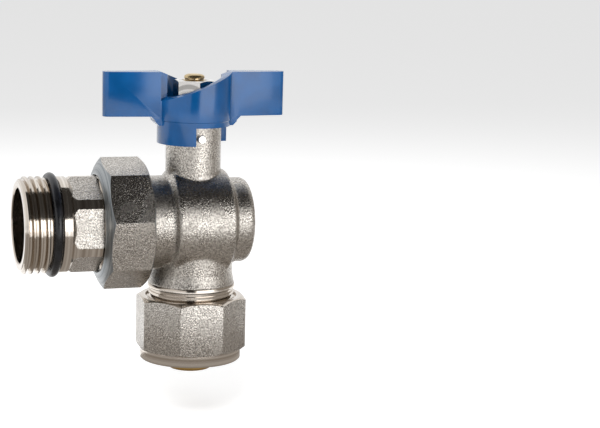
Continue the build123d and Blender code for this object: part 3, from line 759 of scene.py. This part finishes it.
thread.rotation_euler = (0, math.pi / 2, 0)
picked(thread)
bpy.ops.object.transform_apply(rotation=True)
fused(
    thread,
    turned(
        "thread blank",
        [
            (0.06, tail_bore_r + 0.35),
            (0.06, 15.0),
            (1.4, thread_r - 0.01),
            (thread_end - 0.7, thread_r - 0.01),
            (thread_end + 0.2, 15.2),
            (thread_end + 0.2, tail_bore_r),
            (0.4, tail_bore_r),
            (0.06, tail_bore_r + 0.35),
        ],
        along="X",
        hollow=True,
    ),
    "INTERSECT",
)
smooth(thread, 28)
dress(thread, turned_nickel_x)
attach(thread, "tail")
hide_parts("tailpiece")

ring_gap, collar_l = 0.25, 3.4
tail_hex_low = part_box("tail_o_ring")[1].x / MM + ring_gap + collar_l
tail_hex_high = tail_hex_low + 11.6
flange_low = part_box("union_gasket")[0].x / MM - 2.4
flange_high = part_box("union_gasket")[0].x / MM
hex_corner, groove_r, collar_r, hex_foot_r = 17.32, 14.8, 16.4, 14.5
flange_r, flange_edge_r = 17.93, 17.75
tail = turned(
    "tail_hexagon",
    [(tail_hex_low, hex_corner), (tail_hex_high, hex_corner)],
    along="X",
    sides=6,
    turn=-33,
)
fused(
    tail,
    turned(
        "turned corners",
        [
            (tail_hex_low, 15.6),
            (tail_hex_low + 1.6, collar_r),
            (tail_hex_high - 1.6, collar_r),
            (tail_hex_high, 15.2),
        ],
        along="X",
        sides=192,
    ),
    "INTERSECT",
)
fused(
    tail,
    turned(
        "collars and flange",
        [
            (thread_end, groove_r),
            (tail_hex_low - collar_l, groove_r),
            (tail_hex_low - collar_l, 16.2),
            (tail_hex_low - 3.1, collar_r),
            (tail_hex_low - 0.4, collar_r),
            (tail_hex_low + 1.5, hex_foot_r),
            (tail_hex_high - 1.5, hex_foot_r),
            (tail_hex_high - 0.2, 16.3),
            (tail_hex_high + 0.1, collar_r),
            (flange_low, collar_r),
            (flange_low, flange_edge_r),
            (flange_low + 0.2, flange_r),
            (flange_high - 0.2, flange_r),
            (flange_high, flange_edge_r),
        ],
        along="X",
        sides=192,
    ),
)
fused(
    tail,
    turned("tail bore", [(-1, tail_bore_r), (flange_high + 1, tail_bore_r)], along="X", sides=192),
    "DIFFERENCE",
)
bevelled(tail, 0.12, 22)
smooth(tail, 24)
bar_nickel = blasted_nickel("tumbled nickel plate", 0.5, 0.14, "#9a948d", "#e8e3dc", 0.24)
dress(tail, turned_nickel_x, bar_nickel)
for face in tail.data.polygons:
    square = abs(face.normal.x) < 0.05
    on_flat = math.hypot(face.center.y, face.center.z) < 16.35 * MM
    out = face.normal.y * face.center.y + face.normal.z * face.center.z > 0
    if square and on_flat and out and tail_hex_low * MM < face.center.x < tail_hex_high * MM:
        face.material_index = 1
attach(tail, "tail")
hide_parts("tailpiece")

# Compressed fibre sheet, punched to a ring and seen only when the union is apart.
fibre = grained(
    "pressed fibre sheet",
    patches=(0.35, 5.0),
    grain=(0.35, 5.0),
    depth_mm=0.03,
    colours=[(0.35, "#2c4f46"), (0.65, "#4d7468")],
    dulls=[(0.35, 0.7), (0.65, 0.85)],
)
dress(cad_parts["union_gasket"], fibre)

# ---------------------------------------------------------------- union nut
# A big octagon nut, pressed from brass. Its flats keep the blasted skin; the cone towards the
# tail, the chamfer behind and the thread are turned after.
nut_x, nut_end_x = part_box("union_nut")[0].x / MM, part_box("union_nut")[1].x / MM
union_corner = 22.60
mouth_r, mouth_l, nut_root_r = 16.85, 4.2, 18.95
union_nut = turned(
    "union_nut_octagon",
    [(nut_x, union_corner), (nut_end_x, union_corner)],
    along="X",
    sides=8,
    turn=-9,
)
fused(
    union_nut,
    turned(
        "cone and chamfer",
        [
            (nut_x, 17.5),
            (nut_x + 2.4, union_corner + 0.02),
            (nut_end_x - 1.1, union_corner + 0.02),
            (nut_end_x, union_corner - 1.9),
        ],
        along="X",
        sides=256,
    ),
    "INTERSECT",
)
fused(
    union_nut,
    turned(
        "nut bore",
        [
            (nut_x - 1, mouth_r),
            (nut_x + mouth_l, mouth_r),
            (nut_x + mouth_l, nut_root_r),
            *thread_ridges(nut_x + mouth_l + 0.4, 7, FINE_PITCH, 18.2, nut_root_r),
            (nut_end_x + 1, nut_root_r),
        ],
        along="X",
        sides=128,
    ),
    "DIFFERENCE",
)
bevelled(union_nut, 0.2, 20)
smooth(union_nut, 24)
nut_nickel = blasted_nickel("blasted nickel plate, nuts", 0.48, 0.15, "#8f8a84", "#e4dfd8", 0.25)
# Painted shade: everything but the flats takes a darker, bluer copy of the turned nickel.
cone_nickel_painted_shade = turned_nickel("turned nickel, cone of the nut, painted shade", "X", 0.35, "#7c8185", "#a2a6a8", 0.3)
dress(union_nut, cone_nickel_painted_shade, nut_nickel)
for face in union_nut.data.polygons:
    if abs(face.normal.x) < 0.1 and math.hypot(face.center.y, face.center.z) > 19.5 * MM:
        face.material_index = 1
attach(union_nut, "union_nut")
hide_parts("union_nut")

# ---------------------------------------------------------------- pipe insert
# Turned brass nose that the pipe is pushed over, with two O-rings in its grooves.
dress(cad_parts["pipe_insert"], bare_brass_z)

# ---------------------------------------------------------------- compression nut
# An octagon nut, 36 mm across its flats, with a polished collar below. It squeezes the split
# ring onto the pipe.
top_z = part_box("compression_nut")[1].z / MM
low_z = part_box("compression_nut")[0].z / MM
flats_z = top_z - 18.3
pipe_corner, pipe_hole_r, pipe_nut_root_r = 19.48, 10.15, 15.8
floor_z, ring_bore_r = -38.6, 12.6
compression_nut = turned(
    "compression_nut_octagon", [(flats_z, pipe_corner), (top_z, pipe_corner)], sides=8, turn=-25
)
fused(
    compression_nut,
    turned(
        "nut chamfers",
        [
            (flats_z, 18.55),
            (flats_z + 0.6, pipe_corner + 0.02),
            (top_z - 1.1, pipe_corner + 0.02),
            (top_z, 17.6),
        ],
        sides=256,
    ),
    "INTERSECT",
)
fused(
    compression_nut,
    turned(
        "collar",
        [(low_z, 17.15), (low_z + 0.4, 17.58), (flats_z - 0.3, 17.58), (flats_z + 0.5, 17.2)],
        sides=192,
    ),
)
fused(
    compression_nut,
    turned(
        "pipe nut bore",
        [
            (top_z + 1, 15.9),
            (top_z - 1.0, 15.9),
            *thread_ridges(top_z - 1.0, 7, FINE_PITCH, 15.1, pipe_nut_root_r, -1),
            (floor_z, pipe_nut_root_r),
            (floor_z, ring_bore_r),
            (floor_z - 0.2, ring_bore_r),
            (-45.8, pipe_hole_r),
            (low_z - 1, pipe_hole_r),
        ],
    ),
    "DIFFERENCE",
)
bevelled(compression_nut, 0.2, 20)
smooth(compression_nut, 24)
dress(compression_nut, turned_nickel_z, nut_nickel)
for face in compression_nut.data.polygons:
    high_enough = face.center.z > (flats_z - 0.05) * MM
    wide = math.hypot(face.center.x - stem_x * MM, face.center.y) > 17.4 * MM
    if abs(face.normal.z) < 0.1 and high_enough and wide:
        face.material_index = 1
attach(compression_nut, "compression_nut")
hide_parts("compression_nut")

# ---------------------------------------------------------------- studio
# A white table in a white room with three soft boxes. The boards are seen by reflections only:
# the dark ones overhead and behind the camera draw the metal's shape, the grey ones calm it.
def either(tree, first, second):
    """1 where either kind of ray asks, else 0."""
    return node(
        tree, "ShaderNodeMath", {0: first, 1: second}, operation="MAXIMUM"
    ).outputs[0]


bpy.ops.object.select_all(action="DESELECT")
bpy.ops.mesh.primitive_grid_add(
    x_subdivisions=4, y_subdivisions=4, size=6.0, location=(0.06, 0.5, -0.066)
)
floor = bpy.context.object
floor.name = "table"
bpy.ops.object.transform_apply(location=True)
white, tree = new_material("white table")
path = node(tree, "ShaderNodeLightPath").outputs
shown = either(tree, path["Is Camera Ray"], path["Is Glossy Ray"])
paper = node(tree, "ShaderNodeBsdfDiffuse", {"Color": linear("#f4f4f4")}).outputs[0]
glow = node(tree, "ShaderNodeEmission", {"Color": (1, 1, 1, 1), "Strength": 0.45}).outputs[0]
lit = node(tree, "ShaderNodeAddShader", {0: paper, 1: glow}).outputs[0]
sheet = node(tree, "ShaderNodeMixShader", {0: shown, 1: paper, 2: lit}).outputs[0]
node(tree, "ShaderNodeOutputMaterial", {"Surface": sheet})
dress(floor, white)

world = bpy.data.worlds.new("white room")
bpy.context.scene.world = world
world.use_nodes = True
tree = world.node_tree
tree.nodes.clear()
path = node(tree, "ShaderNodeLightPath").outputs
seen = either(tree, path["Is Camera Ray"], path["Is Glossy Ray"])
seen = either(tree, seen, path["Is Transmission Ray"])
strength = node(
    tree, "ShaderNodeMapRange", {"Value": seen, "To Min": 0.35, "To Max": 1.0}
).outputs[0]
room = node(tree, "ShaderNodeBackground", {"Color": (1, 1, 1, 1), "Strength": strength}).outputs[0]
node(tree, "ShaderNodeOutputWorld", {"Surface": room})


def aimed(thing, place, target):
    """Stands a lamp, board or camera at a place, in mm, with its back axis away from the target."""
    thing.location = Vector(place) * MM
    way = (Vector(place) - Vector(target)) * MM
    thing.rotation_euler = way.to_track_quat("Z", "Y").to_euler()


def soft_box(name, place, target, width, height, watts, seen_in_metal=True):
    """A soft box, sizes in mm."""
    lamp = bpy.data.lights.new(name, "AREA")
    lamp.shape = "RECTANGLE"
    lamp.size, lamp.size_y, lamp.energy = width * MM, height * MM, watts
    holder = bpy.data.objects.new(name, lamp)
    bpy.context.collection.objects.link(holder)
    aimed(holder, place, target)
    holder.visible_glossy = seen_in_metal
    holder.visible_camera = False


def dark_board(name, place, target, width, height, grey):
    """A board that only reflections see, sizes in mm."""
    bpy.ops.object.select_all(action="DESELECT")
    bpy.ops.mesh.primitive_grid_add(x_subdivisions=2, y_subdivisions=2, size=1.0)
    board = bpy.context.object
    board.name = name
    board.scale = (width * MM, height * MM, 1)
    aimed(board, place, target)
    bpy.ops.object.transform_apply(location=True, rotation=True, scale=True)
    material, tree = new_material(name)
    glow = node(tree, "ShaderNodeEmission", {"Color": linear(grey), "Strength": 1.0}).outputs[0]
    node(tree, "ShaderNodeOutputMaterial", {"Surface": glow})
    dress(board, material)
    board.visible_camera = board.visible_diffuse = board.visible_shadow = False


middle = (stem_x, 0, 0)
soft_box("key soft box", (stem_x - 330, -480, 560), middle, 450, 450, 3.4, seen_in_metal=False)
soft_box("right soft box", (stem_x + 240, -550, 20), middle, 520, 430, 1.3)
soft_box("back soft box", (stem_x, 450, 450), middle, 700, 300, 1.5, seen_in_metal=False)
dark_board("overhead board", (stem_x, -551, 500), (stem_x, -551, 0), 1800, 1371, "#3c3a38")
dark_board("board behind the camera", (stem_x - 181, -676, 60), middle, 300, 520, "#2c2a29")
dark_board("grey cloth", (stem_x, -70, -64), (stem_x, -70, 0), 900, 260, "#a39d97")
dark_board("right board", (stem_x + 620, 20, 60), middle, 900, 700, "#a8a39d")

# ---------------------------------------------------------------- camera
# A 104 mm lens from the left of square-on, a little above the outlet axis.
lens = bpy.data.cameras.new("camera")
camera = bpy.data.objects.new("camera", lens)
bpy.context.collection.objects.link(camera)
bpy.context.scene.camera = camera
lens.sensor_width = 36.0
lens.lens = 103.7
lens.clip_start, lens.clip_end = 0.05, 20.0
camera.location = Vector((stem_x - 155.8, -573.1, 103.2)) * MM
camera.rotation_mode = "XYZ"
yaw, pitch, roll = [math.radians(angle) for angle in (18.83, 9.57, 1.54)]
facing = Vector(
    (math.sin(yaw) * math.cos(pitch), math.cos(yaw) * math.cos(pitch), -math.sin(pitch))
)
level = facing.to_track_quat("-Z", "Y").to_matrix()
camera.rotation_euler = (level @ Matrix.Rotation(roll, 3, "Z")).to_euler()

bpy.context.scene.view_settings.view_transform = "Standard"
